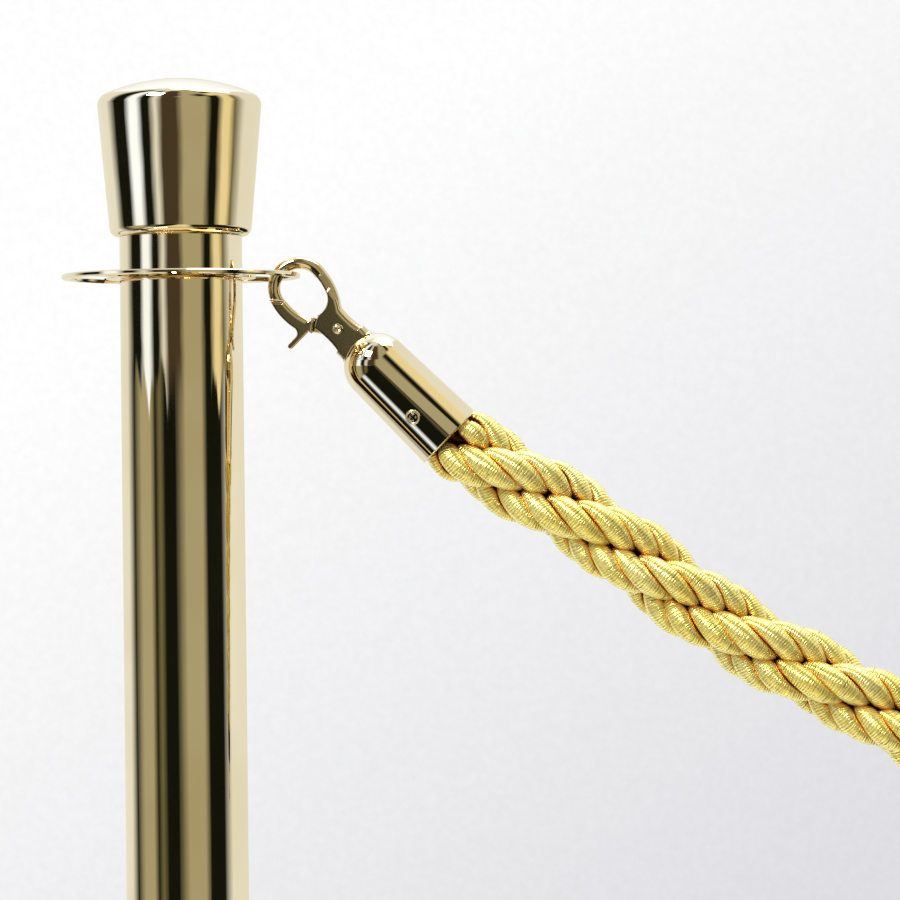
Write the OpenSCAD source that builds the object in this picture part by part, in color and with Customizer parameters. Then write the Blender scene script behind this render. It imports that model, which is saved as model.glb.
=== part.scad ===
// Rope barrier stanchion: a polished post with a flared crown, a slotted ring plate under it,
// and a twisted rope that ends in two domed ferrules with swivelling trigger hooks.
// Millimetres. +Z is up, and the origin is the centre of the base where it meets the floor.

/* [Post] */
// Outside diameter of the post tube and of the neck
tube_d = 50.8; // [50:0.1:52]
// Wall of the post tube and of the neck
tube_wall = 1.5; // [1.2:0.1:2]
// Height of the tube's top end, which the ring plate rests on
tube_top = 897; // [895:1:900]
// Height of the short neck between the ring plate and the crown
neck_h = 15.7; // [14:0.1:18]

/* [Ring plate] */
// Outside diameter of the ring plate
ring_d = 99; // [98:0.1:100]
// Thickness of the ring plate
ring_t = 2; // [1.6:0.1:2]
// Width of the outer rim that a hook closes round
rim_w = 4.1; // [3.6:0.1:4.2]
// Diameter of the plate's solid middle
hub_d = 62; // [56:1:63]
// Width of the four spokes
spoke_w = 7; // [5:0.5:9]

/* [Crown] */
// Diameter of the crown at its rim
crown_d = 68; // [64:0.5:72]
// Diameter of the crown at its foot
crown_foot_d = 59; // [56:0.5:62]
// Height from the crown's foot to the middle of its rim
crown_h = 57.6; // [52:0.1:62]
// Rise of the domed top above the rim
crown_rise = 8.0; // [6.5:0.1:9.5]
// Thickness of the spun crown
crown_wall = 1.2; // [1:0.1:1.5]

/* [Base] */
// Diameter of the base
base_d = 320; // [300:5:360]
// Height of the domed base cover at its middle
base_h = 52; // [48:1:60]
// Thickness of the spun base cover
cover_wall = 1.5; // [1.2:0.1:2]
// Thickness of the rubber floor ring
floor_t = 3; // [2:0.5:4]

/* [Hook] */
// Diameter of the hook's round bar
bar_d = 5.2; // [4.8:0.1:5.4]
// Thickness of the hook's flat shank
shank_t = 6.4; // [6:0.1:7]
// Half width of the shank at its waist
waist = 6.6; // [6.2:0.1:7]
// Angle through which the trigger opens the gate
gate_open = 18; // [10:1:20]

/* [Ferrule] */
// Radius of the ferrule's domed end
dome_r = 13.85; // [13.5:0.05:14]
// Radius of the ferrule at its open mouth
mouth_r = 15; // [14.8:0.1:15.2]
// Thickness of the ferrule's wall
ferrule_wall = 1.2; // [1:0.1:1.4]
// Distance from the open mouth to the middle of the fixing screws
screw_back = 16.6; // [14:0.1:18]

/* [Rope] */
// Radius of the rope where it lies free
rope_r = 15.5; // [14.5:0.5:16]
// Radius of the rope where the ferrules squeeze it
rope_neck_r = 13; // [12.5:0.1:13]

/* [Hidden] */
$fn = 96;

// ring plate's bevelled edges
rim_bevel = 0.5;

// heights up the post
ring_mid = tube_top + ring_t / 2;
neck_z = tube_top + ring_t;
crown_z = neck_z + neck_h;
crown_top_z = crown_z + crown_h + crown_rise;
tube_r = tube_d / 2;
tube_in = tube_r - tube_wall;
plug_r = tube_in - 0.1;

// base: one dome radius for the cover, and the same dome one wall lower for the weight
base_r = base_d / 2;
edge_r = 5;
base_shoulder = 16;
dome_drop = base_h - base_shoulder;
base_dome_r = (base_r * base_r + dome_drop * dome_drop) / (2 * dome_drop);
seat_z = 46;
rod_r = 5;
rod_hole_r = 5.5;
nut_h = 8;
nut_af = 17;
washer_r = 14;
washer_t = 2.5;
nut_well = 13;
well_r = 16;
recess_in = 40;
recess_out = 120;
recess_h = 18;

// gap between the tube and what fits round it, and the collar's section there
fit = 0.3;
foot_w = 11;
foot_h = 10;
foot_soft = 3;
ring_under = 22;
plug_h = 14;

// crown: shallow dome and rounded rim
rim_r = 5;
crown_r = crown_d / 2;
foot_r = crown_foot_d / 2;
foot_round = 3.5;
crown_dome_r = (crown_r * crown_r + crown_rise * crown_rise) / (2 * crown_rise);
rim_in = crown_r - rim_r;
rim_z = crown_top_z - crown_dome_r + sqrt(pow(crown_dome_r - rim_r, 2) - rim_in * rim_in);

// insert that screws onto the rod: a neck through the crown's foot, a flange above it, a boss
insert_r = 17.8;
insert_h = 6;
flange_r = 24;
flange_h = 5;
boss_r = 10;
boss_h = 22;
thread_h = 17.5;

// hook, drawn flat: x runs from the loop towards the ferrule, y across, z out of its flat face
bar_r = bar_d / 2;
nose = [-3.3, 0.65];
nose_r = 10.5;
back_r = 27;
arm_w = bar_d - 0.5;
pivot = [20.2, -0.3];
pin_r = 1.7;
shoulder_r = 9.8;
opening = [3.3, 0.3];
opening_r = 7.3;
waist_r = 38;
face = [-6.2, -9.35];
face_turn = 38;
face_gap = 0.2;
gate_t = 5;
gate_low = 16;
gate_out = [1.5, 14.1];
gate_out_r = 27.5;
gate_in = [0.5, 20];
gate_in_r = 27.4;
root_r = 3.8;
tongue_t = 1.6;
tongue_l = 11;
tongue_half = 3;
tongue_turn = 214.8;
slot_l = 12;
slot_half = 3.5;
slot_t = 3.6;
lever_x = 10;
lever_w = 2.2;
lever_tip = -20.4;
lever_fillet = 2.5;
head_r = 2.3;
head_ball = 3.4;
head_sunk = 2.6;
coil_r = 2.6;
wire_r = 0.2;
coil_z = 0.35;
coil_pitch = 0.55;
dome_x = 42.65;
dome_gap = 0.3;
collar_r = 8.1;
collar_t = 10.4;
collar_x = 26.5;
collar_l = 5;
stud_r = 2.5;
stud_x = 25;
stud_head_r = 5.5;
stud_head_h = 3;
pad_x = 32.8;
pad_r = 8;
run = 0.05;
mouth_x = 60 * sqrt(2);
screw_r = 2.5;
screw_turn = 19.7;

// each hook's loop centre, and how far its axis is turned down from +X
near_loop = [51, 0, 890];
near_tilt = 45;
far_mouth = [312, 0, 701];
far_tilt = 208;
far_loop = far_mouth + mouth_x * [-cos(far_tilt), 0, sin(far_tilt)];

// the rope's route: straight out of the near ferrule, along a shallow wave, into the far one
route = [
    [93, 0, 848], [102, 0, 839], [110.5, 0, 830.5], [116, 0, 826], [132, 0, 816],
    [152, 0, 804], [173, 0, 790], [194, 0, 774], [215, 0, 758], [236, 0, 744],
    [257, 0, 732], [278, 0, 721], [293, 0, 712], [307, 0, 703.6], [313, 0, 700.5],
    [324, 0, 694.6], [335, 0, 688.8]
];
rope_sides = 12;
squeezed = 3;

// ---------------------------------------------------------------- base

// The solid under a shallow dome with a rounded edge, from z = low up
module domed_disc(r, top, dome, edge, low) {
    centre = top - dome;
    edge_z = centre + sqrt(pow(dome - edge, 2) - pow(r - edge, 2));
    rotate_extrude()
        intersection() {
            union() {
                intersection() {
                    translate([0, centre]) circle(r = dome, $fn = 200);
                    square([(r - edge) * dome / (dome - edge), top]);
                }
                square([r, edge_z]);
                translate([r - edge, edge_z]) circle(r = edge);
            }
            translate([0, low]) square([r, top]);
        }
}

// Spun cover of the base, open below
module base_cover() {
    color("goldenrod")
        difference() {
            domed_disc(base_r, base_h, base_dome_r, edge_r, floor_t);
            translate([0, 0, -cover_wall])
                domed_disc(base_r - cover_wall, base_h, base_dome_r, edge_r - cover_wall, 0);
            cylinder(r = tube_r + fit, h = base_h + 1);
        }
}

// Cast weight inside the cover: a flat seat for the tube, a well for the nut, a recess below
module base_weight() {
    gap = cover_wall + 0.5;
    color("dimgray")
        difference() {
            intersection() {
                translate([0, 0, -gap])
                    domed_disc(base_r - gap, base_h, base_dome_r, edge_r - cover_wall, floor_t + gap);
                cylinder(r = base_r, h = seat_z);
            }
            cylinder(r = rod_hole_r, h = base_h);
            cylinder(r = well_r, h = floor_t + nut_well);
            difference() {
                cylinder(r = recess_out, h = floor_t + recess_h);
                cylinder(r = recess_in, h = base_h);
            }
        }
}

// Rubber ring under the edge of the base
module floor_ring() {
    color("#202020")
        difference() {
            cylinder(r = base_r - 0.5, h = floor_t);
            translate([0, 0, -1]) cylinder(r = base_r - ring_under, h = floor_t + 2);
        }
}

// Moulded collar that hides the foot of the tube
module base_collar() {
    color("gold")
        difference() {
            translate([0, 0, base_h - fit])
                rotate_extrude()
                    translate([tube_r + fit, 0]) {
                        square([foot_w - foot_soft, foot_h]);
                        square([foot_w, foot_h - foot_soft]);
                        translate([foot_w - foot_soft, foot_h - foot_soft]) circle(r = foot_soft);
                    }
            translate([0, 0, base_h - base_dome_r]) sphere(r = base_dome_r, $fn = 200);
        }
}

module base_washer() {
    color("silver")
        translate([0, 0, floor_t + nut_well - washer_t])
            difference() {
                cylinder(r = washer_r, h = washer_t);
                translate([0, 0, -1]) cylinder(r = rod_hole_r, h = washer_t + 2);
            }
}

module base_nut() {
    color("silver")
        translate([0, 0, floor_t + nut_well - washer_t - nut_h])
            difference() {
                cylinder(d = nut_af / cos(30), h = nut_h, $fn = 6);
                translate([0, 0, -1]) cylinder(r = rod_r + run, h = nut_h + 2);
            }
}

// ---------------------------------------------------------------- post

// Threaded rod that pulls the crown, the ring plate and the base together
module tie_rod() {
    color("lightgray")
        translate([0, 0, floor_t + 1]) cylinder(r = rod_r, h = crown_z + thread_h - 1.5 - floor_t);
}

// A disc that centres the rod in the tube
module plug(z, h) {
    color("dimgray")
        translate([0, 0, z])
            difference() {
                cylinder(r = plug_r, h = h);
                translate([0, 0, -1]) cylinder(r = rod_hole_r, h = h + 2);
            }
}

// A length of the post's tube
module pipe(z, h) {
    color("gold")
        translate([0, 0, z])
            difference() {
                cylinder(r = tube_r, h = h, $fn = 160);
                translate([0, 0, -1]) cylinder(r = tube_in, h = h + 2);
            }
}

module post_tube() {
    pipe(seat_z, tube_top - seat_z);
}

module bottom_plug() {
    plug(seat_z, plug_h);
}

module top_plug() {
    plug(tube_top - plug_h, plug_h);
}

module neck_sleeve() {
    pipe(neck_z, neck_h);
}

module neck_spacer() {
    plug(neck_z, neck_h);
}

// Thin plate with a bevelled outer rim, a solid hub and four wide slots
module ring_plate() {
    r = ring_d / 2;
    rim_in_r = r - rim_w;
    half = ring_t / 2;
    color("gold")
        translate([0, 0, ring_mid])
            difference() {
                union() {
                    rotate_extrude($fn = 200)
                        polygon([
                            [rim_in_r, half - rim_bevel], [rim_in_r + rim_bevel, half],
                            [r - rim_bevel, half], [r, half - rim_bevel],
                            [r, rim_bevel - half], [r - rim_bevel, -half],
                            [rim_in_r + rim_bevel, -half], [rim_in_r, rim_bevel - half]
                        ]);
                    cylinder(d = hub_d, h = ring_t, center = true);
                    for (turn = [45 : 90 : 315])
                        rotate(turn)
                            translate([hub_d / 2 - 1, -spoke_w / 2, -half])
                                cube([rim_in_r + rim_w / 2 - hub_d / 2 + 1, spoke_w, ring_t]);
                }
                cylinder(r = rod_hole_r, h = 2 * ring_t, center = true);
            }
}

// ---------------------------------------------------------------- crown

// The solid of the crown, smaller by inset all over
module crown_solid(inset) {
    foot = foot_r - inset;
    soft = foot_round - inset;
    dome = crown_dome_r - inset;
    rotate_extrude()
        union() {
            intersection() {
                translate([0, crown_top_z - crown_dome_r]) circle(r = dome, $fn = 200);
                translate([0, rim_z]) square([rim_in * dome / (crown_dome_r - rim_r), crown_h]);
            }
            translate([rim_in, rim_z]) circle(r = rim_r - inset);
            translate([foot - soft, crown_z + foot_round]) circle(r = soft);
            polygon([
                [0, crown_z + inset],
                [foot - soft, crown_z + inset],
                [foot, crown_z + foot_round],
                [crown_r - inset, rim_z],
                [0, rim_z]
            ]);
        }
}

// Spun crown: tapered sides, rounded rim, shallow domed top
module crown_shell() {
    color("gold")
        difference() {
            crown_solid(0);
            crown_solid(crown_wall);
            translate([0, 0, crown_z - 1]) cylinder(r = insert_r + 0.2, h = boss_h);
        }
}

// Turned insert inside the crown that screws onto the rod
module crown_insert() {
    color("dimgray")
        difference() {
            union() {
                translate([0, 0, crown_z]) cylinder(r = insert_r, h = insert_h);
                translate([0, 0, crown_z + crown_wall + 0.2]) cylinder(r = flange_r, h = flange_h);
                translate([0, 0, crown_z]) cylinder(r = boss_r, h = boss_h);
            }
            translate([0, 0, crown_z - 1]) cylinder(r = rod_r + run, h = thread_h + 1);
        }
}

// ---------------------------------------------------------------- hooks

// Puts a hook or a ferrule, drawn flat, where its loop and its axis belong
module placed(loop, tilt) {
    translate(loop) rotate([0, tilt, 0]) rotate([90, 0, 0]) children();
}

// The opening of the loop
module loop_opening() {
    translate(nose) circle(r = nose_r - bar_r);
    translate(opening) circle(r = opening_r);
    polygon([
        [nose[0], nose[1] + nose_r - bar_r],
        [opening[0], opening[1] + opening_r],
        [opening[0], opening[1] - opening_r],
        [nose[0], nose[1] - nose_r + bar_r]
    ]);
}

// Flat outline of the shank: waisted sides, and a round seat for the gate's root
module shank_outline() {
    difference() {
        translate([6, -8.4]) square([25.5, 19]);
        loop_opening();
        for (side = [-1, 1])
            translate([20, 0.2 + side * (waist + waist_r)]) circle(r = waist_r);
        translate([5, -9]) square([2.6, 9]);
        difference() {
            translate([5, -9]) square([15, 6.6]);
            translate(pivot) circle(r = shoulder_r);
        }
    }
}

// The room that the gate's tongue sweeps inside the shank
module gate_slot() {
    translate(pivot) {
        circle(r = root_r + 0.6);
        for (turn = [0, gate_open])
            rotate(tongue_turn + turn) translate([0, -slot_half]) square([slot_l, 2 * slot_half]);
        polygon([
            [0, 0],
            slot_l * [cos(tongue_turn), sin(tongue_turn)],
            slot_l * [cos(tongue_turn + gate_open), sin(tongue_turn + gate_open)]
        ]);
    }
}

// Where the nose ends against the gate: everything on the gate's side of that face
module gate_side() {
    translate(face) rotate(face_turn) translate([-12, -24]) square([24, 24]);
}

module hook_body() {
    color("darkgoldenrod")
        difference() {
            union() {
                difference() {
                    translate(nose)
                        rotate(76) rotate_extrude(angle = 204) translate([nose_r, 0]) circle(r = bar_r);
                    linear_extrude(2 * bar_d, center = true) gate_side();
                }
                translate([nose[0], nose[1] + nose_r - back_r])
                    rotate(50) rotate_extrude(angle = 44) translate([back_r, 0]) square(arm_w, center = true);
                linear_extrude(shank_t, center = true) shank_outline();
                intersection() {
                    translate([collar_x, 0, 0]) rotate([0, 90, 0]) cylinder(r = collar_r, h = collar_l);
                    cube([4 * collar_x, 4 * collar_r, collar_t], center = true);
                }
            }
            translate([dome_x, 0, 0]) sphere(r = dome_r + dome_gap);
            linear_extrude(slot_t, center = true) gate_slot();
            translate([pivot[0], pivot[1], -shank_t]) cylinder(r = pin_r + 0.02, h = 2 * shank_t);
            translate([stud_x, 0, 0]) rotate([0, 90, 0]) cylinder(r = stud_r + 0.02, h = 10);
        }
}

// Flat outline of the gate and its trigger
module gate_outline() {
    difference() {
        intersection() {
            translate(gate_out) circle(r = gate_out_r, $fn = 160);
            translate(face - [0, face_gap]) rotate(face_turn) translate([-12, -24]) square([40, 24]);
            translate([-12, -gate_low]) square([25.6, 12.4]);
        }
        intersection() {
            translate(gate_in) circle(r = gate_in_r, $fn = 160);
            translate([-12, -gate_low]) square([21.2, 12.5]);
        }
        translate(pivot) circle(r = shoulder_r + 0.35);
        translate([lever_x + lever_w, -gate_low]) square([4, 6.4]);
    }
    translate([lever_x, lever_tip + lever_w / 2]) square([lever_w, 12]);
    translate([lever_x + lever_w / 2, lever_tip + lever_w / 2]) circle(d = lever_w);
    difference() {
        translate([lever_x - lever_fillet, -15.3]) square([lever_fillet + 0.1, 3]);
        translate([lever_x - lever_fillet, -15.3]) circle(r = lever_fillet);
    }
}

module gate() {
    color("gold")
        difference() {
            union() {
                linear_extrude(gate_t, center = true) gate_outline();
                translate([pivot[0], pivot[1], -tongue_t - run])
                    linear_extrude(tongue_t) {
                        circle(r = root_r);
                        rotate(tongue_turn) translate([0, -tongue_half]) square([tongue_l, 2 * tongue_half]);
                    }
            }
            translate([pivot[0], pivot[1], -shank_t]) cylinder(r = pin_r + run, h = 2 * shank_t);
        }
}

// Rivet that the gate turns on
module gate_pin() {
    color("khaki")
        translate([pivot[0], pivot[1], 0]) {
            cylinder(r = pin_r, h = shank_t + 0.6, center = true);
            for (side = [0, 180])
                rotate([side, 0, 0])
                    translate([0, 0, shank_t / 2])
                        intersection() {
                            cylinder(r = head_r, h = 1);
                            translate([0, 0, -head_sunk]) sphere(r = head_ball);
                        }
        }
}

// A point of the spring's ring: turn is how far along the coil, a is round the wire
function coil_point(turn, a) =
    let (r = coil_r + wire_r * cos(a))
    [r * cos(turn), r * sin(turn), coil_z + coil_pitch * turn / 360 + wire_r * sin(a)];

// Triangles that close a swept tube of given rings and sides
function tube_faces(rings, sides) = concat(
    [for (i = [0 : rings - 2]) for (j = [0 : sides - 1])
        [i * sides + j, i * sides + (j + 1) % sides, (i + 1) * sides + j]],
    [for (i = [0 : rings - 2]) for (j = [0 : sides - 1])
        [i * sides + (j + 1) % sides, (i + 1) * sides + (j + 1) % sides, (i + 1) * sides + j]],
    [[for (j = [sides - 1 : -1 : 0]) j]],
    [[for (j = [0 : sides - 1]) (rings - 1) * sides + j]]
);

// Torsion spring beside the gate's tongue
module gate_spring() {
    coil_sides = 8;
    coil_step = 22.5;
    turns = [for (turn = [0 : coil_step : 720]) turn];
    color("silver")
        translate([pivot[0], pivot[1], 0])
            polyhedron(
                [for (turn = turns) for (j = [0 : coil_sides - 1]) coil_point(turn, -j * 360 / coil_sides)],
                tube_faces(len(turns), coil_sides)
            );
}

// Headed stud that the ferrule swivels on, fixed in the hook's collar
module swivel_stud() {
    color("silver")
        rotate([0, 90, 0]) {
            translate([0, 0, stud_x]) cylinder(r = stud_r, h = pad_x + stud_head_h - stud_x);
            translate([0, 0, pad_x + 0.1]) cylinder(r = stud_head_r, h = stud_head_h);
        }
}

// ---------------------------------------------------------------- rope and ferrules

// The ferrule's solid along +Z, smaller by inset all over
module ferrule_solid(inset) {
    translate([0, 0, dome_x]) {
        sphere(r = dome_r - inset);
        cylinder(r1 = dome_r - inset, r2 = mouth_r - inset, h = mouth_x - dome_x);
    }
}

module screw_places(grow) {
    for (side = [0, 180])
        rotate([0, 0, side + screw_turn])
            translate([mouth_r - 5, 0, mouth_x - screw_back])
                rotate([0, 90, 0]) cylinder(r = screw_r + grow, h = 10);
}

module ferrule() {
    color("gold")
        rotate([0, 90, 0])
            difference() {
                ferrule_solid(0);
                difference() {
                    union() {
                        ferrule_solid(ferrule_wall);
                        translate([0, 0, mouth_x - 1]) cylinder(r = mouth_r - ferrule_wall, h = 2);
                    }
                    cylinder(r = pad_r, h = pad_x);
                }
                cylinder(r = stud_r + run, h = dome_x);
                screw_places(0.05);
            }
}

// Socket screws through the ferrule's wall into the rope
module ferrule_screws() {
    color("khaki")
        rotate([0, 90, 0])
            intersection() {
                screw_places(0);
                cylinder(r = mouth_r - 0.9, h = mouth_x);
            }
}

// Unit vector along the route at point i
function along(i) =
    let (d = route[min(i + 1, len(route) - 1)] - route[max(i - 1, 0)])
    d / norm(d);

// The rope is squeezed inside both ferrules
function rope_radius(i) =
    i < squeezed || i >= len(route) - squeezed ? rope_neck_r : rope_r;

// Ring of points round the route, which stays in the plane y = 0
function rope_ring(i) =
    let (t = along(i), up = [-t[2], 0, t[0]], r = rope_radius(i))
    [for (j = [0 : rope_sides - 1])
        let (a = j * 360 / rope_sides)
        route[i] + r * (cos(a) * up + sin(a) * [0, 1, 0])];

module rope() {
    color("gold")
        polyhedron(
            [for (i = [0 : len(route) - 1]) each rope_ring(i)],
            tube_faces(len(route), rope_sides)
        );
}

module near() {
    placed(near_loop, near_tilt) children();
}

module far() {
    placed(far_loop, far_tilt) children();
}

base_cover();
base_weight();
floor_ring();
base_collar();
base_nut();
base_washer();
tie_rod();
bottom_plug();
post_tube();
top_plug();
ring_plate();
neck_sleeve();
neck_spacer();
crown_shell();
crown_insert();
near() hook_body();  // near_hook_body
near() gate();  // near_gate
near() gate_pin();  // near_gate_pin
near() gate_spring();  // near_gate_spring
near() swivel_stud();  // near_swivel_stud
near() ferrule();  // near_ferrule
near() ferrule_screws();  // near_ferrule_screws
rope();
far() ferrule();  // far_ferrule
far() ferrule_screws();  // far_ferrule_screws
far() swivel_stud();  // far_swivel_stud
far() hook_body();  // far_hook_body
far() gate();  // far_gate
far() gate_pin();  // far_gate_pin
far() gate_spring();  // far_gate_spring
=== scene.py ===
import math

import bmesh
import bpy
from mathutils import Matrix, Vector, noise
from mathutils.bvhtree import BVHTree


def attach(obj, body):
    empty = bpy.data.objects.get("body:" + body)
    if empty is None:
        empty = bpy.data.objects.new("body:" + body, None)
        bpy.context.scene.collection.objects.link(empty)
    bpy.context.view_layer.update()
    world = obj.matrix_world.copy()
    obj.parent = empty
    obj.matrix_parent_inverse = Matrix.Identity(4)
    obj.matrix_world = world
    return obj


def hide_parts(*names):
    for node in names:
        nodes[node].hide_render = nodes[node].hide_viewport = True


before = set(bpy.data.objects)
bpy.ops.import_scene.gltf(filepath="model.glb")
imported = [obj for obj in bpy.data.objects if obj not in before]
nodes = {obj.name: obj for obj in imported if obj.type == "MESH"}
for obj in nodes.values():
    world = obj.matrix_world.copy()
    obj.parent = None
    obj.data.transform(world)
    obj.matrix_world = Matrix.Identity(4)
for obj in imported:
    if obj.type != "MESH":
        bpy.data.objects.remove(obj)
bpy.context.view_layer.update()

scene = bpy.context.scene
scene.view_settings.view_transform = "Standard"
MM = 0.001


# ---------------------------------------------------------------- camera

camera = bpy.data.objects.new("camera", bpy.data.cameras.new("camera"))
scene.collection.objects.link(camera)
scene.camera = camera
# Level with the ferrule and 1.5 m away; the small roll follows the photograph
camera.data.lens = 144.3
camera.data.sensor_width = 36
camera.data.clip_start = 0.05
camera.location = (0.111, -1.5, 0.8247)
camera.rotation_euler = (math.radians(90), math.radians(0.62), 0)


# ---------------------------------------------------------------- mesh helpers

def new_object(name, mesh, body):
    """An object for a finished mesh, riding on a body."""
    piece = bpy.data.objects.new(name, mesh)
    scene.collection.objects.link(piece)
    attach(piece, body)
    return piece


def smooth(mesh, angle=30):
    """Smooth shading that stays crisp at edges sharper than angle."""
    for face in mesh.polygons:
        face.use_smooth = True
    mesh.set_sharp_from_angle(angle=math.radians(angle))


def arc(centre, radius, start, end, steps):
    """Points on a circle in the plane of radius and height, angles in degrees."""
    return [
        (centre[0] + radius * math.cos(math.radians(start + (end - start) * i / steps)),
         centre[1] + radius * math.sin(math.radians(start + (end - start) * i / steps)))
        for i in range(steps + 1)
    ]


def turns(count):
    """The cosine and sine of count even steps round a circle."""
    angles = [2 * math.pi * k / count for k in range(count)]
    return [(math.cos(a), math.sin(a)) for a in angles]


def neighbours(items, closed):
    """Each item with the next one, and the last with the first where the row is closed."""
    return list(zip(items, items[1:] + items[:1])) if closed else list(zip(items, items[1:]))


def skin(bm, low, high):
    """Faces between two rings of as many vertices."""
    for k in range(len(low)):
        n = (k + 1) % len(low)
        bm.faces.new((low[k], low[n], high[n], high[k]))


def guarded(profile, closed, guard=0.15):
    """The profile with a point beside each end of every long line, which keeps its shading flat."""
    made = []
    for a, b in neighbours(profile, closed):
        made.append(a)
        length = math.dist(a, b)
        if length > 1:
            for share in (guard / length, 1 - guard / length):
                made.append((a[0] + (b[0] - a[0]) * share, a[1] + (b[1] - a[1]) * share))
    return made if closed else made + [profile[-1]]


def lathe(name, profile, segments=256, matrix=None, closed=True):
    """A mesh from a profile of (radius, height) in millimetres, turned about the vertical axis."""
    bm = bmesh.new()
    profile = guarded(profile, closed)
    rings = []
    for radius, height in profile:
        if radius < 1e-6:
            rings.append([bm.verts.new((0, 0, height * MM))])
            continue
        rings.append([bm.verts.new((radius * MM * c, radius * MM * s, height * MM))
                      for c, s in turns(segments)])
    for low, high in neighbours(rings, closed):
        if len(low) == len(high) == segments:
            skin(bm, low, high)
        elif len(high) == segments:
            for a, b in neighbours(high, True):
                bm.faces.new((low[0], b, a))
        elif len(low) == segments:
            for a, b in neighbours(low, True):
                bm.faces.new((a, b, high[0]))
    bmesh.ops.recalc_face_normals(bm, faces=bm.faces)
    if matrix:
        bm.transform(matrix)
    mesh = bpy.data.meshes.new(name)
    bm.to_mesh(mesh)
    bm.free()
    smooth(mesh)
    return mesh


# ---------------------------------------------------------------- materials

def rgb(red, green, blue):
    """A colour as the eye names it, 0 to 255, in the renderer's linear light."""
    def linear(x):
        x /= 255
        return x / 12.92 if x <= 0.04045 else ((x + 0.055) / 1.055) ** 2.4
    return (linear(red), linear(green), linear(blue), 1)


class Nodes:
    """Short names for building a node tree."""

    def __init__(self, tree):
        self.tree = tree

    def add(self, kind, **settings):
        node = self.tree.nodes.new(kind)
        for key, value in settings.items():
            setattr(node, key, value)
        return node

    def link(self, source, target):
        self.tree.links.new(source, target)

    def put(self, socket, value):
        if isinstance(value, bpy.types.NodeSocket):
            self.link(value, socket)
        else:
            socket.default_value = value

    def maths(self, operation, a, b=0.0, c=0.0, clamp=False):
        node = self.add("ShaderNodeMath", operation=operation, use_clamp=clamp)
        for socket, value in zip(node.inputs, (a, b, c)):
            self.put(socket, value)
        return node.outputs[0]

    def remap(self, value, low, high, to_low, to_high, kind="SMOOTHSTEP"):
        node = self.add("ShaderNodeMapRange", interpolation_type=kind)
        for socket, x in zip(node.inputs, (value, low, high, to_low, to_high)):
            self.put(socket, x)
        return node.outputs[0]

    def mix(self, share, a, b, blend="MIX"):
        node = self.add("ShaderNodeMix", data_type="RGBA", blend_type=blend)
        self.put(node.inputs[0], share)
        self.put(node.inputs[6], a)
        self.put(node.inputs[7], b)
        return node.outputs[2]

    def ramp(self, value, stops, kind="LINEAR"):
        node = self.add("ShaderNodeValToRGB")
        node.color_ramp.interpolation = kind
        elements = node.color_ramp.elements
        while len(elements) > 1:
            elements.remove(elements[-1])
        elements[0].position, elements[0].color = stops[0]
        for position, colour in stops[1:]:
            elements.new(position).color = colour
        self.put(node.inputs[0], value)
        return node.outputs[0]

    def noise(self, vector, scale, detail=3.0, roughness=0.5, stretch=None):
        if stretch:
            mapping = self.add("ShaderNodeMapping")
            self.link(vector, mapping.inputs[0])
            mapping.inputs[3].default_value = stretch
            vector = mapping.outputs[0]
        node = self.add("ShaderNodeTexNoise")
        self.link(vector, node.inputs["Vector"])
        node.inputs["Scale"].default_value = scale
        node.inputs["Detail"].default_value = detail
        node.inputs["Roughness"].default_value = roughness
        return node.outputs[0]

    def bump(self, height, strength, distance, before=None):
        node = self.add("ShaderNodeBump")
        node.inputs["Strength"].default_value = strength
        node.inputs["Distance"].default_value = distance
        self.link(height, node.inputs["Height"])
        if before:
            self.link(before, node.inputs["Normal"])
        return node.outputs[0]


def empty_tree(owner):
    """The cleared node tree of a material or a world."""
    owner.use_nodes = True
    owner.node_tree.nodes.clear()
    return Nodes(owner.node_tree)


def new_material(name):
    """A material with its shader and its node tree."""
    material = bpy.data.materials.new(name)
    material.use_nodes = True
    shader = material.node_tree.nodes["Principled BSDF"]
    return material, shader, Nodes(material.node_tree)


def polished(name, colour, deep, roughness, wave, scratch):
    """Polished metal: slow colour drift, faint smears, a slightly wavy surface and fine scratches."""
    material, shader, n = new_material(name)
    place = n.add("ShaderNodeTexCoord").outputs["Object"]
    drift = n.noise(place, 18, 2)
    n.put(shader.inputs["Base Color"], n.mix(n.remap(drift, 0.35, 0.65, 0, 1), colour, deep))
    shader.inputs["Metallic"].default_value = 1
    smear = n.noise(place, 60, 4, 0.6, stretch=(1, 1, 0.25))
    n.put(shader.inputs["Roughness"], n.remap(smear, 0.4, 0.75, roughness, roughness + 0.05))
    swell = n.noise(place, 38, 1, stretch=(1, 1, 0.2))
    fine = n.noise(place, 900, 2, 0.6, stretch=(1, 1, 0.05))
    normal = n.bump(swell, wave, 0.001)
    n.put(shader.inputs["Normal"], n.bump(fine, scratch, 0.0001, normal))
    return material


def plain_metal(name, colour, roughness, grain_scale, metallic=1.0, bump=0.25):
    """Turned, plated or cast metal, and rubber: even colour with grain."""
    material, shader, n = new_material(name)
    place = n.add("ShaderNodeTexCoord").outputs["Object"]
    grain = n.noise(place, grain_scale, 4, 0.6)
    dark = tuple(0.72 * c for c in colour[:3]) + (1,)
    n.put(shader.inputs["Base Color"], n.mix(grain, dark, colour))
    shader.inputs["Metallic"].default_value = metallic
    n.put(shader.inputs["Roughness"], n.remap(grain, 0.3, 0.7, roughness * 0.8, roughness * 1.2))
    n.put(shader.inputs["Normal"], n.bump(grain, bump, 0.0003))
    return material


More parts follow.
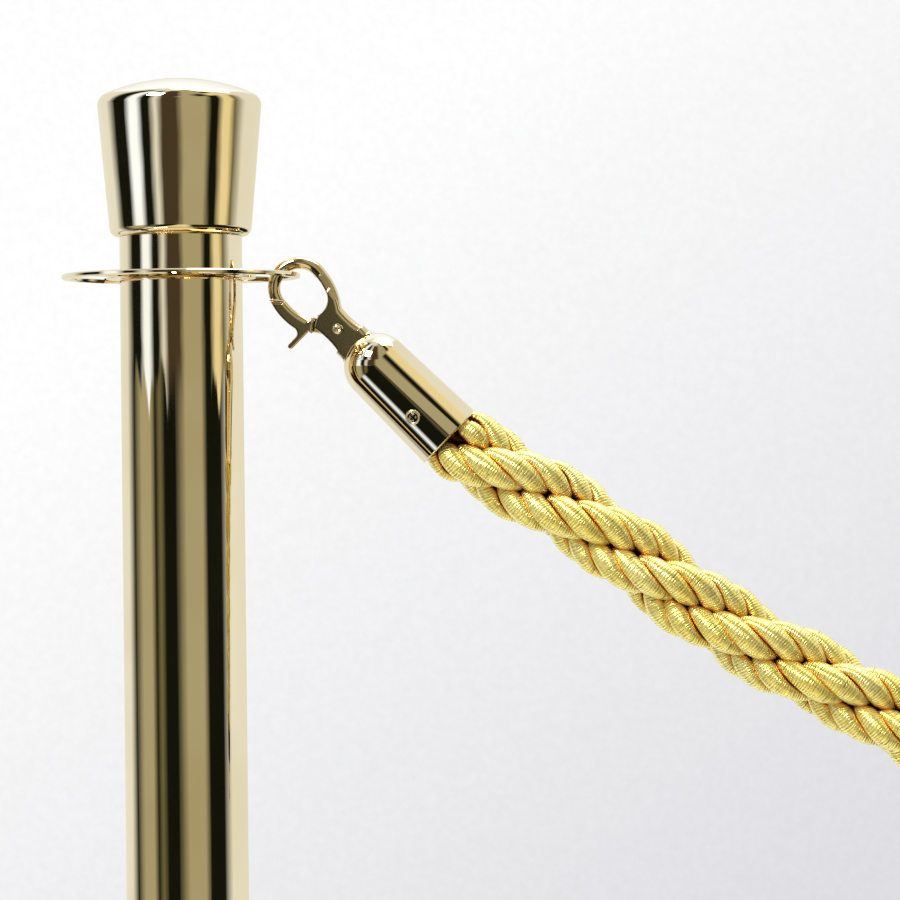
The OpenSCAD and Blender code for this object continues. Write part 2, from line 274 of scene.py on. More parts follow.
brass = polished("polished_brass", (0.80, 0.66, 0.40, 1), (0.76, 0.61, 0.35, 1), 0.015, 0.03, 0.02)
# The hooks' brass: rougher, as cast, and with a darker base colour, which is painted shade that keeps
# their flat faces dark
hook_brass = polished("hook_brass", (0.74, 0.59, 0.33, 1), (0.66, 0.52, 0.28, 1), 0.12, 0.10, 0.02)
satin_brass = polished("satin_brass", (0.80, 0.68, 0.42, 1), (0.74, 0.60, 0.34, 1), 0.26, 0.1, 0.05)
steel = plain_metal("plated_steel", (0.66, 0.66, 0.64, 1), 0.3, 400)
turned = plain_metal("turned_insert", (0.50, 0.50, 0.50, 1), 0.4, 600)
iron = plain_metal("cast_iron", (0.16, 0.16, 0.16, 1), 0.6, 250, 0.6, 0.8)
rubber = plain_metal("floor_rubber", (0.06, 0.06, 0.06, 1), 0.8, 500, 0.0, 0.4)


def gold_thread():
    """Cords wrapped crosswise in metallic thread: fine ribs with painted shade in their troughs, odd gaps
    in the wrap, and painted shade in the creases between cords.
    """
    material, shader, n = new_material("gold_rope")
    uv = n.add("ShaderNodeUVMap", uv_map="thread").outputs[0]
    parts = n.add("ShaderNodeSeparateXYZ")
    n.link(uv, parts.inputs[0])
    along = parts.outputs[0]
    place = n.add("ShaderNodeTexCoord").outputs["Object"]

    rib_pitch = 0.95
    wander = n.noise(uv, 1.0, 2, stretch=(0.3, 2.0, 1))
    slanted = n.maths("ADD", along, n.maths("MULTIPLY", wander, 1.4))
    rib = n.maths("SINE", n.maths("MULTIPLY", slanted, 2 * math.pi / rib_pitch))
    strand = n.noise(uv, 1.0, 3, 0.7, stretch=(2.6, 0.6, 1))
    cracked = n.noise(uv, 1.0, 2, 0.5, stretch=(1.1, 2.2, 1))
    patch = n.noise(uv, 1.0, 2, 0.5, stretch=(0.12, 3.0, 1))
    crack = n.maths("MULTIPLY", n.remap(cracked, 0.56, 0.64, 0, 1), n.remap(rib, -0.2, -0.9, 0, 1))
    crack = n.maths("MULTIPLY", crack, n.remap(patch, 0.42, 0.55, 0, 1))

    crease_shade = n.add("ShaderNodeAttribute", attribute_name="crease_shade").outputs["Fac"]
    tint = n.noise(place, 40, 2)
    colour = n.mix(n.remap(tint, 0.35, 0.65, 0, 1), (1.0, 0.85, 0.24, 1), (1.0, 0.90, 0.34, 1))
    # Painted shade: the troughs of the ribs are darkened towards olive brown
    colour = n.mix(n.remap(rib, 0.1, -0.9, 0, 0.5), colour, (0.55, 0.36, 0.04, 1))
    colour = n.mix(n.remap(strand, 0.36, 0.52, 0.6, 0), colour, (0.45, 0.32, 0.04, 1))
    colour = n.mix(n.maths("MULTIPLY", crack, 0.85), colour, (0.10, 0.07, 0.01, 1))
    # Painted shade in the creases between cords and strands: warm orange where light bounces in the gold,
    # then near black at the deepest
    colour = n.mix(n.remap(crease_shade, 0.05, 0.6, 0, 0.8), colour, (0.86, 0.36, 0.03, 1))
    colour = n.mix(n.remap(crease_shade, 0.5, 0.9, 0, 1), colour, (0.07, 0.012, 0.002, 1))
    n.put(shader.inputs["Base Color"], colour)
    shader.inputs["Metallic"].default_value = 0.78
    n.put(shader.inputs["Roughness"], n.remap(strand, 0.3, 0.7, 0.26, 0.17))
    ribs = n.maths("ADD", n.maths("MULTIPLY", rib, 0.5), n.maths("MULTIPLY", strand, 1.6))
    ribs = n.maths("SUBTRACT", ribs, n.maths("MULTIPLY", crack, 1.5))
    n.put(shader.inputs["Normal"], n.bump(ribs, 0.7, 0.00018))
    return material


rope_gold = gold_thread()


# ---------------------------------------------------------------- rope

# The route of part.scad: its ends lie on the ferrules' axes, its middle follows the rope
ROUTE = [Vector((x * MM, 0, z * MM)) for x, z in (
    (93, 848), (102, 839), (110.5, 830.5), (116, 826), (132, 816),
    (152, 804), (173, 790), (194, 774), (215, 758), (236, 744),
    (257, 732), (278, 721), (293, 712), (307, 703.6), (313, 700.5),
    (324, 694.6), (335, 688.8),
)]
STRAND_LAY = 0.123
CORD_LAY = 0.032
STRAND_OFFSET = 0.0084
CORD_OFFSET = 0.0047
CORD_THICK = 0.0040
CORD_WIDE = 0.0046
CORD_SIDES = 20
# The rope's thickness inside a ferrule, as a share, and how far it takes to fill out
NECK = 0.79
NECK_RUN = 0.008
# Plain cores close the gaps behind the cords; they carry the full crease shade mask, so they are painted
# near black as shade
CORE_R = 0.0040
STRAND_CORE_R = 0.0022
CORE_SIDES = 10


def curve_through(points, step):
    """Points about a step apart on one smooth curve through the given points."""
    ends = [2 * points[0] - points[1]] + list(points) + [2 * points[-1] - points[-2]]
    made = []
    for a, b, c, d in zip(ends, ends[1:], ends[2:], ends[3:]):
        count = max(2, round((c - b).length / step))
        for i in range(count):
            t = i / count
            made.append(0.5 * (2 * b + (c - a) * t + (2 * a - 5 * b + 4 * c - d) * t * t
                               + (3 * b - a - 3 * c + d) * t ** 3))
    return made + [points[-1]]


def evenly(points, step):
    """The same curve, with its points an equal distance apart."""
    lengths = [0.0]
    for a, b in zip(points, points[1:]):
        lengths.append(lengths[-1] + (b - a).length)
    count = round(lengths[-1] / step)
    made, i = [], 0
    for k in range(count + 1):
        s = lengths[-1] * k / count
        while i < len(points) - 2 and lengths[i + 1] < s:
            i += 1
        share = (s - lengths[i]) / (lengths[i + 1] - lengths[i])
        made.append(points[i].lerp(points[i + 1], min(1.0, share)))
    return made, lengths[-1]


def tangents(points):
    """The direction of the curve at each of its points."""
    return [(points[min(i + 1, len(points) - 1)] - points[max(i - 1, 0)]).normalized()
            for i in range(len(points))]


def ease(x):
    """A soft step from 0 to 1."""
    x = max(0.0, min(1.0, x))
    return x * x * (3 - 2 * x)


def square_to(t, out):
    """The direction out made square to t, and the one across both."""
    out = (out - t * out.dot(t)).normalized()
    return out, t.cross(out)


def make_rope():
    """Three strands laid one way, each of three cords twisted the other way, about one core."""
    centre, length = evenly(curve_through(ROUTE, 0.001), 0.0006)
    count = len(centre)
    step = length / (count - 1)
    axis = tangents(centre)
    mouth = sum((b - a).length for a, b in zip(ROUTE[:2], ROUTE[1:3]))
    side = Vector((0, 1, 0))
    bm = bmesh.new()
    uv = bm.loops.layers.uv.new("thread")
    crease_shade = bm.verts.layers.float.new("crease_shade")

    def squeeze(s):
        return NECK + (1 - NECK) * min(ease((s - mouth) / NECK_RUN),
                                       ease((length - mouth - s) / NECK_RUN))

    strands = []
    for strand in range(3):
        path = []
        strands.append(path)
        for i in range(count):
            s = i * step
            turn = math.radians(120 * strand + 85) - 2 * math.pi * s / STRAND_LAY
            turn += 0.12 * noise.noise(Vector((s * 22, strand * 9.1, 0)))
            up = side.cross(axis[i]) * -1
            out = side * math.cos(turn) + up * math.sin(turn)
            path.append(centre[i] + out * STRAND_OFFSET * squeeze(s))
        strand_axis = tangents(path)
        run = 0.0
        runs = [0.0]
        for a, b in zip(path, path[1:]):
            run += (b - a).length
            runs.append(run)
        for cord in range(3):
            size = 1 + 0.05 * noise.noise(Vector((strand * 3.3, cord * 5.7, 1)))
            line = []
            for i in range(count):
                s = i * step
                t = strand_axis[i]
                out, across = square_to(t, path[i] - centre[i])
                turn = 2 * math.pi * (runs[i] / CORD_LAY + cord / 3) + strand * 1.3
                turn += 0.22 * noise.noise(Vector((s * 60, strand * 4.7, cord * 6.1)))
                reach = CORD_OFFSET * squeeze(s)
                line.append(path[i] + (out * math.cos(turn) + across * math.sin(turn)) * reach)
            cord_axis = tangents(line)
            rings = []
            travelled = 0.0
            for i in range(count):
                if i:
                    travelled += (line[i] - line[i - 1]).length
                s = i * step
                t = cord_axis[i]
                out, across = square_to(t, line[i] - path[i])
                swell = size * squeeze(s)
                swell *= 1 + 0.05 * noise.noise(Vector((s * 140, strand * 7.7, cord * 2.9)))
                ring = []
                for ca, sa in turns(CORD_SIDES):
                    ca = math.copysign(abs(ca) ** 0.9, ca)
                    sa = math.copysign(abs(sa) ** 0.9, sa)
                    point = line[i] + (out * ca * CORD_THICK + across * sa * CORD_WIDE) * swell
                    vert = bm.verts.new(point)
                    # The crease shade mask is 1 deep between two cords or two strands, and 0 on the
                    # outside; the rope's material paints it as shade, orange and then near black at the
                    # deepest
                    depth = (point - path[i]).length / (CORD_OFFSET + CORD_THICK)
                    far = (point - centre[i]).length / (STRAND_OFFSET + CORD_OFFSET + CORD_THICK)
                    vert[crease_shade] = max(1 - ease((depth - 0.68) / 0.22), 1 - ease((far - 0.49) / 0.24))
                    ring.append(vert)
                rings.append((ring, travelled * 1000))
            for (low, u0), (high, u1) in zip(rings, rings[1:]):
                for j in range(CORD_SIDES):
                    k = (j + 1) % CORD_SIDES
                    face = bm.faces.new((low[j], low[k], high[k], high[j]))
                    face.smooth = True
                    corners = ((u0, j), (u0, j + 1), (u1, j + 1), (u1, j))
                    for loop, (u, v) in zip(face.loops, corners):
                        loop[uv].uv = (u + 137 * strand + 41 * cord, v / CORD_SIDES)
            bm.faces.new(rings[0][0][::-1])
            bm.faces.new(rings[-1][0])
    for line, radius in [(centre, CORE_R)] + [(path, STRAND_CORE_R) for path in strands]:
        ring_before = None
        for i in range(0, count, 4):
            up = side.cross(axis[i]) * -1
            ring = []
            for c, s in turns(CORE_SIDES):
                vert = bm.verts.new(line[i] + (side * c + up * s) * radius)
                # The cores are painted wholly in the deepest shade colour
                vert[crease_shade] = 1.0
                ring.append(vert)
            if ring_before:
                skin(bm, ring_before, ring)
            ring_before = ring
    bmesh.ops.recalc_face_normals(bm, faces=bm.faces)
    mesh = bpy.data.meshes.new("twisted_rope")
    bm.to_mesh(mesh)
    bm.free()
    mesh.materials.append(rope_gold)
    return mesh, centre[::4] + [centre[-1]], length


rope_mesh, rope_line, rope_length = make_rope()
rope = new_object("twisted_rope", rope_mesh, "rope_assembly")
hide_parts("rope")


# ---------------------------------------------------------------- post and base

def show(piece, material):
    """The piece in one material only."""
    piece.data.materials.clear()
    piece.data.materials.append(material)
    return piece


def turned_piece(name, profile, body, node, slot, material, **extra):
    """A lathed piece that stands for a CAD node."""
    piece = new_object(name, lathe(name, profile, **extra), body)
    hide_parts(node)
    return show(piece, material)


TUBE_R, TUBE_IN, TUBE_FOOT, TUBE_TOP = 25.4, 23.9, 46, 897.0
NECK_Z, CROWN_Z, CROWN_TOP = 899, 914.7, 980.3


def tube_profile(low, high, soft=0.25):
    """Half section of a tube with softened outer edges."""
    return ([(TUBE_IN, low), (TUBE_R - soft, low)] + arc((TUBE_R - soft, low + soft), soft, -90, 0, 4)
            + arc((TUBE_R - soft, high - soft), soft, 0, 90, 4) + [(TUBE_IN, high)])


turned_piece("post_shaft", tube_profile(TUBE_FOOT, TUBE_TOP), "post", "post_tube", "polished_brass", brass)
turned_piece("neck", tube_profile(NECK_Z, CROWN_Z), "post", "neck_sleeve", "polished_brass", brass)


CROWN_R, CROWN_FOOT, CROWN_BORE, CROWN_WALL = 34.0, 29.5, 18, 1.2
FOOT_ROUND, RIM_ROUND, RISE = 3.5, 5.0, 8.0
DOME_ROUND = (CROWN_R ** 2 + RISE ** 2) / (2 * RISE)
DOME_Z = CROWN_TOP - DOME_ROUND


def crown_outside():
    """The crown's outer half section: rounded foot, straight flare, rounded rim, dome."""
    rim = CROWN_R - RIM_ROUND
    rim_z = DOME_Z + math.sqrt((DOME_ROUND - RIM_ROUND) ** 2 - rim ** 2)
    foot, foot_z = CROWN_FOOT - FOOT_ROUND, CROWN_Z + FOOT_ROUND
    inward, upward = foot - rim, rim_z - foot_z
    lean = math.degrees(math.atan2(upward, inward)
                        - math.acos((RIM_ROUND - FOOT_ROUND) / math.hypot(inward, upward)))
    meet = math.degrees(math.acos(rim / (DOME_ROUND - RIM_ROUND)))
    return (arc((foot, foot_z), FOOT_ROUND, -90, -lean, 14)
            + arc((rim, rim_z), RIM_ROUND, -lean, meet, 20)
            + arc((0, DOME_Z), DOME_ROUND, meet, 90, 40)[1:-1] + [(0, CROWN_TOP)])


def crown_inside(wall, rim_r=2):
    """The same section inside the wall, from the foot to the middle."""
    inner = DOME_ROUND - wall
    rim = CROWN_R - wall - rim_r
    rim_z = DOME_Z + math.sqrt((inner - rim_r) ** 2 - rim ** 2)
    meet = math.degrees(math.acos(rim / (inner - rim_r)))
    return (arc((CROWN_FOOT - FOOT_ROUND, CROWN_Z + FOOT_ROUND), FOOT_ROUND - wall, -90, -5, 8)
            + arc((rim, rim_z), rim_r, -5, meet, 8)
            + arc((0, DOME_Z), inner, meet, 90, 24)[1:-1] + [(0, CROWN_TOP - wall)])


crown = [(CROWN_BORE, CROWN_Z)] + crown_outside()
crown += crown_inside(CROWN_WALL)[::-1] + [(CROWN_BORE, CROWN_Z + CROWN_WALL)]
turned_piece("crown", crown, "post", "crown_shell", "polished_brass", brass)


BASE_R, BASE_RISE, BASE_TOP, BASE_LOW, BASE_HOLE = 160.0, 36.0, 52, 3, 25.7
BASE_EDGE, COVER_WALL = 5, 1.5


def dome_profile(radius, top, edge, low, inner):
    """Half section of the base's shallow dome, from its foot to the hole round the tube."""
    dome = (BASE_R ** 2 + BASE_RISE ** 2) / (2 * BASE_RISE)
    centre = top - dome
    edge_z = centre + math.sqrt((dome - edge) ** 2 - (radius - edge) ** 2)
    meet = math.degrees(math.acos((radius - edge) / (dome - edge)))
    return ([(radius, low)] + arc((radius - edge, edge_z), edge, 0, meet, 12)
            + arc((0, centre), dome, meet, math.degrees(math.acos(inner / dome)), 48)[1:])


cover = dome_profile(BASE_R, BASE_TOP, BASE_EDGE, BASE_LOW, BASE_HOLE)
cover += dome_profile(BASE_R - COVER_WALL, BASE_TOP - COVER_WALL, BASE_EDGE - COVER_WALL,
                      BASE_LOW, BASE_HOLE)[::-1]
turned_piece("base_dome", cover, "post", "base_cover", "polished_brass", brass, segments=320)

collar = ([(25.7, 51.3), (36.7, 50.4)] + arc((33.7, 58.7), 3, 0, 90, 12)
          + arc((26.3, 61.1), 0.6, 90, 180, 5))
turned_piece("foot_collar", collar, "post", "base_collar", "polished_brass", brass)

for name, material in (
    ("base_weight", iron), ("floor_ring", rubber), ("base_nut", steel), ("base_washer", steel),
    ("tie_rod", steel), ("bottom_plug", turned), ("top_plug", turned), ("neck_spacer", turned),
    ("crown_insert", turned), ("ring_plate", brass),
    ("near_gate_spring", steel), ("near_swivel_stud", steel),
    ("far_gate_spring", steel), ("far_swivel_stud", steel),
):
    show(nodes[name], material)


# ---------------------------------------------------------------- hooks and ferrules

MOUTH_X = 60 * math.sqrt(2)
DOME_X, DOME_R, MOUTH_R, WALL = 42.65, 13.85, 15.0, 1.2
SWIVEL_R, SWIVEL_X, LIP_R = 2.55, 32.8, 0.6
RIVET_X, RIVET_Y = 20.2, -0.3
SCREW_X, SCREW_TURN = 68.25, 19.7


def hook_frame(loop, tilt):
    """From a hook's own axes, x towards the rope and z out of its flat face, to the part's."""
    return (Matrix.Translation(Vector(loop) * MM)
            @ Matrix.Rotation(math.radians(tilt), 4, "Y")
            @ Matrix.Rotation(math.radians(90), 4, "X"))


def ferrule_profile():
    """Half section: swivel hole, dome, taper, a softly rolled mouth, and the inside back again."""
    low = math.degrees(math.asin(SWIVEL_R / DOME_R))
    outer = [(DOME_R * math.sin(math.radians(a)), DOME_X - DOME_R * math.cos(math.radians(a)))
             for a in [low + (90 - low) * i / 36 for i in range(37)]]
    lip = arc((MOUTH_R - LIP_R, MOUTH_X - LIP_R), LIP_R, 0, 180, 10)
    inner_r = DOME_R - WALL
    inner = [(inner_r * math.sin(math.radians(a)), DOME_X - inner_r * math.cos(math.radians(a)))
             for a in [90 - (90 - 40) * i / 16 for i in range(17)]]
    return outer + lip + inner + [(8, SWIVEL_X), (SWIVEL_R, SWIVEL_X)]


def relax(bm, passes):
    """Smooth every vertex towards its neighbours, some number of times."""
    for _ in range(passes):
        bmesh.ops.smooth_vert(bm, verts=bm.verts, factor=0.5, use_axis_x=True, use_axis_y=True,
                              use_axis_z=True)


def cast_piece(name, node, body, matrix, half, taper):
    """A hook or gate as it leaves the polishing wheel: soft corners, one long edge fully rounded."""
    rough = bpy.data.objects.new("rough", nodes[node].data.copy())
    scene.collection.objects.link(rough)
    remesh = rough.modifiers.new("even", "REMESH")
    remesh.mode, remesh.voxel_size = "VOXEL", 0.00017
    bpy.context.view_layer.update()
    mesh = bpy.data.meshes.new_from_object(rough.evaluated_get(bpy.context.evaluated_depsgraph_get()))
    bpy.data.objects.remove(rough)
    mesh.transform(matrix.inverted())
    bm = bmesh.new()
    bm.from_mesh(mesh)
    relax(bm, 4)
    for vert in bm.verts:
        vert.co.z = max(-half, min(half, vert.co.z))
    tree = BVHTree.FromBMesh(bm)
    up = Vector((0, 1, 0))
    for vert in bm.verts:
        start = Vector((vert.co.x, vert.co.y - 0.02 * MM, 0))
        place, normal, _, depth = tree.ray_cast(start, up, 0.03)
        depth = 0 if place is None or normal.y < 0 else depth
        if place is not None:
            if normal.y < 0 or tree.ray_cast(place + up * 0.05 * MM, up, 0.03)[0] is not None:
                continue
        if depth < half:
            inner = Vector((depth - half, abs(vert.co.z)))
            if inner.length > half:
                inner *= half / inner.length
                edge = vert.co.y + depth
                vert.co.y = edge - (inner.x + half)
                vert.co.z = math.copysign(inner.y, vert.co.z)
    relax(bm, 7)
    for vert in bm.verts:
        vert.co.z *= 1 + taper(vert.co.y / MM)
    bm.transform(matrix)
    bm.to_mesh(mesh)
    bm.free()
    smooth(mesh, 180)
    piece = new_object(name, mesh, body)
    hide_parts(node)
    return show(piece, hook_brass)


def rivet_profile():
    """A rivet's half section about its own axis: domed heads with a dimple from the punch."""
    dome = [(r, 0.6 + math.sqrt(3.4 ** 2 - r ** 2)) for r in (1.25, 1.4, 1.6, 1.8, 2.0, 2.19)]
    head = [(0, 3.25), (0.3, 3.27), (0.6, 3.36), (0.9, 3.54), (1.1, 3.7)] + dome + [(1.7, 3.1)]
    return head + [(r, -h) for r, h in head[::-1]]


def screw_mesh(name, matrix):
    """Two cross-recessed screws opposite each other, each sunk in a round-edged seat."""
    surface, segments, recess = 14.55, 72, 0.75
    bm = bmesh.new()
    seat = [(3.3, surface - 0.6), (3.25, surface - 0.25), (3.1, surface + 0.06),
            (2.85, surface + 0.26), (2.55, surface + 0.30), (2.25, surface + 0.16),
            (2.05, surface - 0.1), (1.95, surface - 0.45), (1.9, surface - 0.8),
            (1.8, surface - 0.8), (1.76, surface - 0.3), (1.6, surface - 0.1)]
    head = [(r / 10, surface + 0.03) for r in range(14, 0, -1)]
    for flip in (0, 180):
        place = matrix @ Matrix.Rotation(math.radians(flip), 4, "X")
        rings = []
        for radius, height in seat + head:
            ring = []
            for c, s in turns(segments):
                x, y = radius * c, radius * s
                cross = (max(ease((0.42 - abs(x)) / 0.16), ease((0.42 - abs(y)) / 0.16))
                         * ease((1.45 - radius) / 0.2))
                ring.append(bm.verts.new(place @ Vector((x, y, height - recess * cross))))
            rings.append(ring)
        for low, high in zip(rings, rings[1:]):
            skin(bm, low, high)
        bm.faces.new(rings[-1])
    mesh = bpy.data.meshes.new(name)
    bm.to_mesh(mesh)
    bm.free()
    smooth(mesh, 40)
    return mesh


def fit_end(end, loop, tilt):
    """One end's ferrule, hook, gate, rivet and screws."""
    place = hook_frame(loop, tilt)
    turn_over = Matrix.Rotation(math.radians(90), 4, "Y")
    ferrule = turned_piece(
        end + "_ferrule_shell", ferrule_profile(), "rope_assembly", end + "_ferrule",
        "polished_brass", brass, segments=192, matrix=place @ turn_over)
    hook = cast_piece(end + "_snap_hook", end + "_hook_body", end + "_hook", place, 3.2 * MM,
                      lambda v: 0.022 * max(-7, min(7, v)))
    gate = cast_piece(end + "_trigger", end + "_gate", end + "_gate_lever", place, 2.5 * MM,
                      lambda v: 0.02 * min(0, v + 5))
    rivet = turned_piece(
        end + "_rivet", rivet_profile(), end + "_hook", end + "_gate_pin", "hook_brass", hook_brass,
        segments=64, closed=False,
        matrix=place @ Matrix.Translation(Vector((RIVET_X, RIVET_Y, 0)) * MM))
    at_screw = (Matrix.Translation((SCREW_X * MM, 0, 0))
                @ Matrix.Rotation(math.radians(SCREW_TURN), 4, "X"))
    millimetres = Matrix.Diagonal((MM, MM, MM, 1))
    screws = new_object(end + "_screws", screw_mesh(end + "_screws", place @ at_screw @ millimetres),
                        "rope_assembly")
    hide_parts(end + "_ferrule_screws")
    return [ferrule, hook, gate, rivet, show(screws, satin_brass)]


NEAR_LOOP, NEAR_TILT = Vector((51, 0, 890)), 45
FAR_MOUTH, FAR_TILT = Vector((312, 0, 701)), 208
back_along = Vector((-math.cos(math.radians(FAR_TILT)), 0, math.sin(math.radians(FAR_TILT))))
far_loop = FAR_MOUTH + MOUTH_X * back_along
fittings = fit_end("near", NEAR_LOOP, NEAR_TILT) + fit_end("far", far_loop, FAR_TILT)


# ---------------------------------------------------------------- studio

BRASS = (0.80, 0.66, 0.40)


def seen(red, green, blue):
    """The light that shows in the brass as this colour."""
    colour = rgb(red, green, blue)
    return tuple(min(2.4, c / b) for c, b in zip(colour, BRASS)) + (1,)


def strips(bands):
    """Ramp stops for strips of light: each band is (from, to, colour), in degrees from the front."""
    stops = []
    for start, end, colour in bands:
        stops.append(((start + 180) / 360, colour))
        if end > start:
            stops.append(((end + 180) / 360, colour))
    return stops


WHITE = seen(255, 255, 245)
CREAM = seen(230, 220, 190)
GOLD = seen(235, 210, 145)
KHAKI = seen(170, 155, 110)
OLIVE = seen(110, 100, 60)
BROWN = seen(70, 55, 35)
BLACK = seen(20, 20, 10)

# The studio's strips and dark flags: from and to, in degrees round from the front, and colour
UPPER = [
    (-180, -120, CREAM), (-100, -80, BLACK), (-70, -60, WHITE), (-50, -40, BLACK),
    (-30, -30, CREAM), (-20, 0, BROWN), (10, 40, KHAKI), (50, 60, BLACK), (70, 80, GOLD),
    (90, 90, OLIVE), (110, 180, CREAM),
]
LOWER = [
    (-180, -120, CREAM), (-100, -100, BLACK), (-80, -60, KHAKI), (-50, -50, BLACK),
    (-40, -40, OLIVE), (-30, -10, BLACK), (10, 40, KHAKI), (50, 80, BLACK),
    (100, 180, CREAM),
]
FERRULE = [
    (-180, -120, CREAM), (-100, -70, BLACK), (-60, -60, WHITE), (-50, 0, BLACK),
    (10, 30, KHAKI), (40, 50, BLACK), (60, 80, GOLD), (100, 180, CREAM),
]


def angle_of(n, forward, sideways):
    """Degrees round from the front, as 0 to 1, of a direction given by its two parts."""
    turn = n.maths("ARCTAN2", sideways, forward)
    return n.maths("ADD", n.maths("DIVIDE", turn, 2 * math.pi), 0.5)


def at_the_edge(n, y):
    """Brass tints less at a glancing angle, so light from straight behind needs less correcting."""
    away = n.maths("SQRT", n.maths("MULTIPLY", n.maths("SUBTRACT", 1, y), 0.5))
    glance = n.maths("POWER", n.maths("SUBTRACT", 1, away), 5)
    shares = n.add("ShaderNodeCombineXYZ")
    for k, bare in enumerate(BRASS):
        lost = n.maths("ADD", 1, n.maths("MULTIPLY", glance, 1 / bare - 1))
        n.link(n.maths("DIVIDE", 1, lost), shares.inputs[k])
    return shares.outputs[0]


def strip_light(n, way, x, y, z):
    """The strips round the object: LOWER under UPPER, with FERRULE where the ferrules look."""
    front = n.maths("MULTIPLY", y, -1)
    ripple = n.noise(way, 9, 2)
    wobble = n.maths("MULTIPLY", n.maths("SUBTRACT", ripple, 0.5), 0.012)
    turn = n.maths("ADD", angle_of(n, front, x), wobble)
    slope = n.maths("MULTIPLY", n.maths("ADD", x, z), math.sqrt(0.5))
    tilted = n.maths("ADD", angle_of(n, front, slope), wobble)

    ragged = n.add("ShaderNodeCombineXYZ")
    n.link(turn, ragged.inputs[0])
    jag = n.maths("MULTIPLY", n.maths("SUBTRACT", n.noise(ragged.outputs[0], 26, 1), 0.5), 0.05)
    high_up = n.remap(n.maths("ADD", z, jag), 0.017, 0.023, 0, 1)
    level = n.mix(high_up, n.ramp(turn, strips(LOWER)), n.ramp(turn, strips(UPPER)))

    near = n.remap(n.maths("ABSOLUTE", n.maths("SUBTRACT", x, z)), 0.12, 0.34, 1, 0)
    high = n.remap(z, 0.04, 0.10, 0, 1)
    low = n.remap(z, -0.15, -0.12, 1, 0)
    slanted = n.maths("MULTIPLY", near, n.maths("MAXIMUM", high, low))
    return n.mix(slanted, level, n.ramp(tilted, strips(FERRULE)))


def overhead_light(n, studio, x, y, z):
    """A pale ceiling, which comes down behind the object, with a white panel in it."""
    above = n.maths("SUBTRACT", z, n.maths("MULTIPLY", n.maths("MAXIMUM", x, 0), 0.9))
    behind = n.remap(y, 0.30, 0.45, 0, 1)
    ceiling = n.maths("MAXIMUM", n.remap(above, 0.93, 0.99, 0, 1),
                      n.maths("MULTIPLY", behind, n.remap(above, 0.10, 0.20, 0, 1)))
    studio = n.mix(ceiling, studio, CREAM)
    aside = n.maths("SUBTRACT", n.maths("MULTIPLY", z, 0.65), n.maths("ABSOLUTE", x))
    panel = n.maths("MULTIPLY", behind, n.remap(aside, -0.03, 0.05, 0, 1))
    return n.mix(panel, studio, n.mix(n.remap(z, 0.10, 0.70, 0, 1), CREAM, WHITE))


def floor_light(n, studio, x, y, z):
    """Light from below: golden in front, cream behind, and dark to the right."""
    left = n.maths("MINIMUM", x, 0)
    below = n.maths("SUBTRACT", n.maths("MULTIPLY", left, 0.9), z)
    colour = n.mix(n.remap(y, -0.3, 0.2, 0, 1), GOLD, CREAM)
    colour = n.mix(n.remap(x, 0.2, 0.4, 0, 1), colour, BLACK)
    return n.mix(n.remap(below, 0.16, 0.26, 0, 1), studio, colour)


def backdrop(n, way, x, z):
    """A white wall with a fine grain, with painted shade that makes it slightly greyer towards the lower
    right.
    """
    fade = n.maths("ADD", n.maths("MULTIPLY", x, 1.1), n.maths("MULTIPLY", z, -1.5))
    shade = n.remap(fade, -0.16, 0.30, 0.0, 1.0, "LINEAR")
    wall = n.mix(shade, (1.0, 1.0, 1.0, 1), (0.74, 0.74, 0.77, 1))
    grain = n.remap(n.noise(way, 420, 3, 0.6), 0.3, 0.7, 0.972, 1.012, "LINEAR")
    return n.mix(1.0, wall, grain, "MULTIPLY")


def background(n, colour, strength=1.0):
    """A background shader of one colour."""
    node = n.add("ShaderNodeBackground")
    n.put(node.inputs[0], colour)
    node.inputs[1].default_value = strength
    return node.outputs[0]


def choose(n, share, first, second):
    """One shader or, where share is 1, another."""
    node = n.add("ShaderNodeMixShader")
    n.link(share, node.inputs[0])
    n.link(first, node.inputs[1])
    n.link(second, node.inputs[2])
    return node.outputs[0]


def build_world():
    """Soft white light for the scene, strips for its reflections and a pale wall to the camera."""
    world = bpy.data.worlds.new("studio")
    scene.world = world
    n = empty_tree(world)
    way = n.add("ShaderNodeTexCoord").outputs["Generated"]
    parts = n.add("ShaderNodeSeparateXYZ")
    n.link(way, parts.inputs[0])
    x, y, z = parts.outputs
    studio = strip_light(n, way, x, y, z)
    studio = overhead_light(n, studio, x, y, z)
    studio = floor_light(n, studio, x, y, z)
    studio = n.mix(1.0, studio, at_the_edge(n, y), "MULTIPLY")

    path = n.add("ShaderNodeLightPath")
    light = choose(n, path.outputs["Is Glossy Ray"],
                   background(n, (1.0, 0.98, 0.95, 1), 1.3), background(n, studio))
    wall = background(n, backdrop(n, way, x, z))
    out = n.add("ShaderNodeOutputWorld")
    n.link(choose(n, path.outputs["Is Camera Ray"], light, wall), out.inputs[0])


build_world()


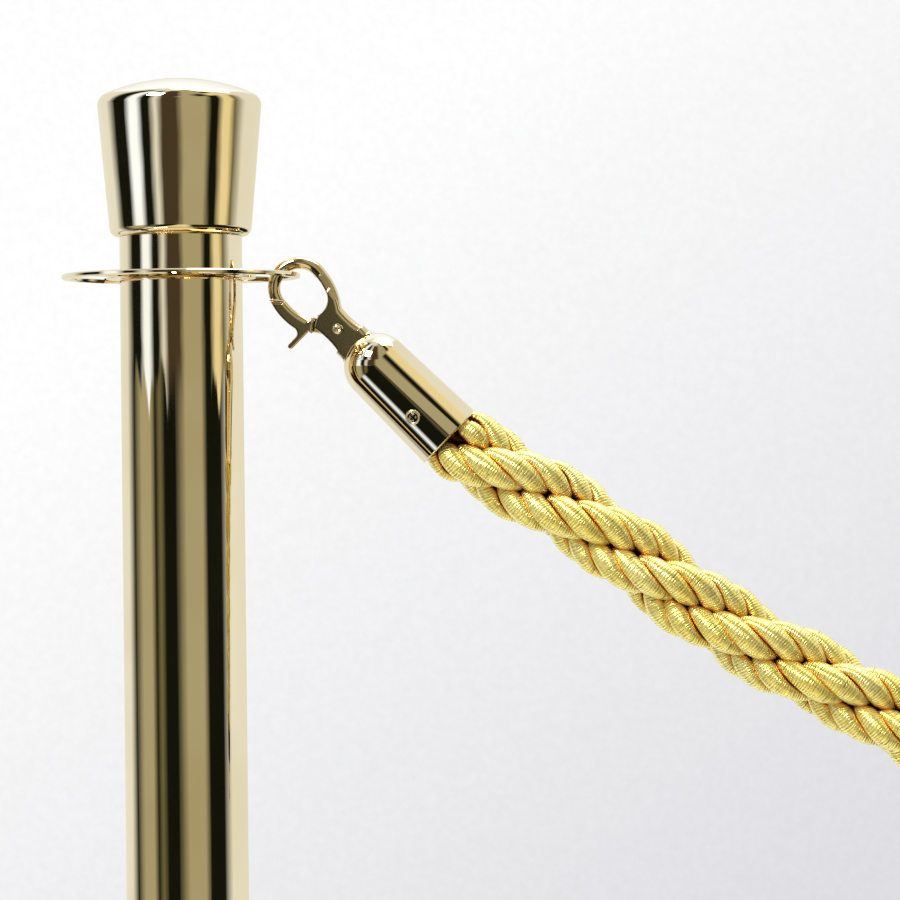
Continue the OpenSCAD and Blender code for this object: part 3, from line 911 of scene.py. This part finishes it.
def reflector():
    """A ring of strip lights round the top of the post, which only reflections see."""
    bm = bmesh.new()
    radius, low, high, count = 0.40, 0.860, 1.020, 96
    skin(bm, *([bm.verts.new((radius * c, radius * s, z)) for c, s in turns(count)]
               for z in (low, high)))
    mesh = bpy.data.meshes.new("reflector")
    bm.to_mesh(mesh)
    bm.free()
    material = bpy.data.materials.new("reflector")
    n = empty_tree(material)
    place = n.add("ShaderNodeTexCoord").outputs["Object"]
    parts = n.add("ShaderNodeSeparateXYZ")
    n.link(place, parts.inputs[0])
    x, y, z = parts.outputs
    ripple = n.noise(place, 10, 2, stretch=(1, 1, 2.5))
    wobble = n.maths("MULTIPLY", n.maths("SUBTRACT", ripple, 0.5), 0.02)
    turn = n.maths("ADD", angle_of(n, n.maths("MULTIPLY", y, -1), x), wobble)
    half_turn = n.maths("MULTIPLY", n.maths("SUBTRACT", turn, 0.5), math.pi)
    turn = n.maths("ADD", turn, n.maths("MULTIPLY", n.maths("SINE", half_turn), 4.6 / 360))
    glow = n.add("ShaderNodeEmission")
    bands = n.ramp(turn, strips(UPPER))
    n.put(glow.inputs[0], n.mix(1.0, bands, at_the_edge(n, n.maths("DIVIDE", y, radius)), "MULTIPLY"))
    clear = n.add("ShaderNodeBsdfTransparent")
    edge = n.maths("ADD", z, n.maths("MULTIPLY", n.noise(place, 14, 2), 0.02))
    solid = n.remap(edge, 0.876, 0.888, 0, 1)
    out = n.add("ShaderNodeOutputMaterial")
    n.link(choose(n, solid, clear.outputs[0], glow.outputs[0]), out.inputs[0])
    mesh.materials.append(material)
    ring = bpy.data.objects.new("reflector", mesh)
    scene.collection.objects.link(ring)
    ring.visible_camera = ring.visible_diffuse = ring.visible_shadow = False
    ring.visible_transmission = ring.visible_volume_scatter = False


reflector()


def softbox(name, place, aim, size, power):
    """A square lamp that points at aim."""
    light = bpy.data.lights.new(name, "AREA")
    light.shape = "SQUARE"
    light.size = size
    light.energy = power
    lamp = bpy.data.objects.new(name, light)
    scene.collection.objects.link(lamp)
    lamp.location = place
    lamp.rotation_euler = (Vector(aim) - Vector(place)).to_track_quat("-Z", "Y").to_euler()
    lamp.visible_camera = False


AIM = (0.2, 0, 0.78)
softbox("key", (-0.9, -1.3, 2.3), AIM, 0.7, 38)
softbox("top", (0.5, 0.3, 2.4), AIM, 1.0, 14)


def make_floor(radius=4.9):
    """A plain pale disc, which the object doesn't mirror."""
    mesh = bpy.data.meshes.new("floor")
    bm = bmesh.new()
    bmesh.ops.create_circle(bm, cap_ends=True, segments=96, radius=radius)
    bm.to_mesh(mesh)
    bm.free()
    material, shader, n = new_material("floor")
    speck = n.noise(n.add("ShaderNodeTexCoord").outputs["Object"], 30, 4)
    n.put(shader.inputs["Base Color"], n.mix(speck, (0.78, 0.78, 0.79, 1), (0.82, 0.82, 0.83, 1)))
    shader.inputs["Roughness"].default_value = 0.7
    mesh.materials.append(material)
    ground = bpy.data.objects.new("floor", mesh)
    scene.collection.objects.link(ground)
    ground.visible_glossy = False


make_floor()
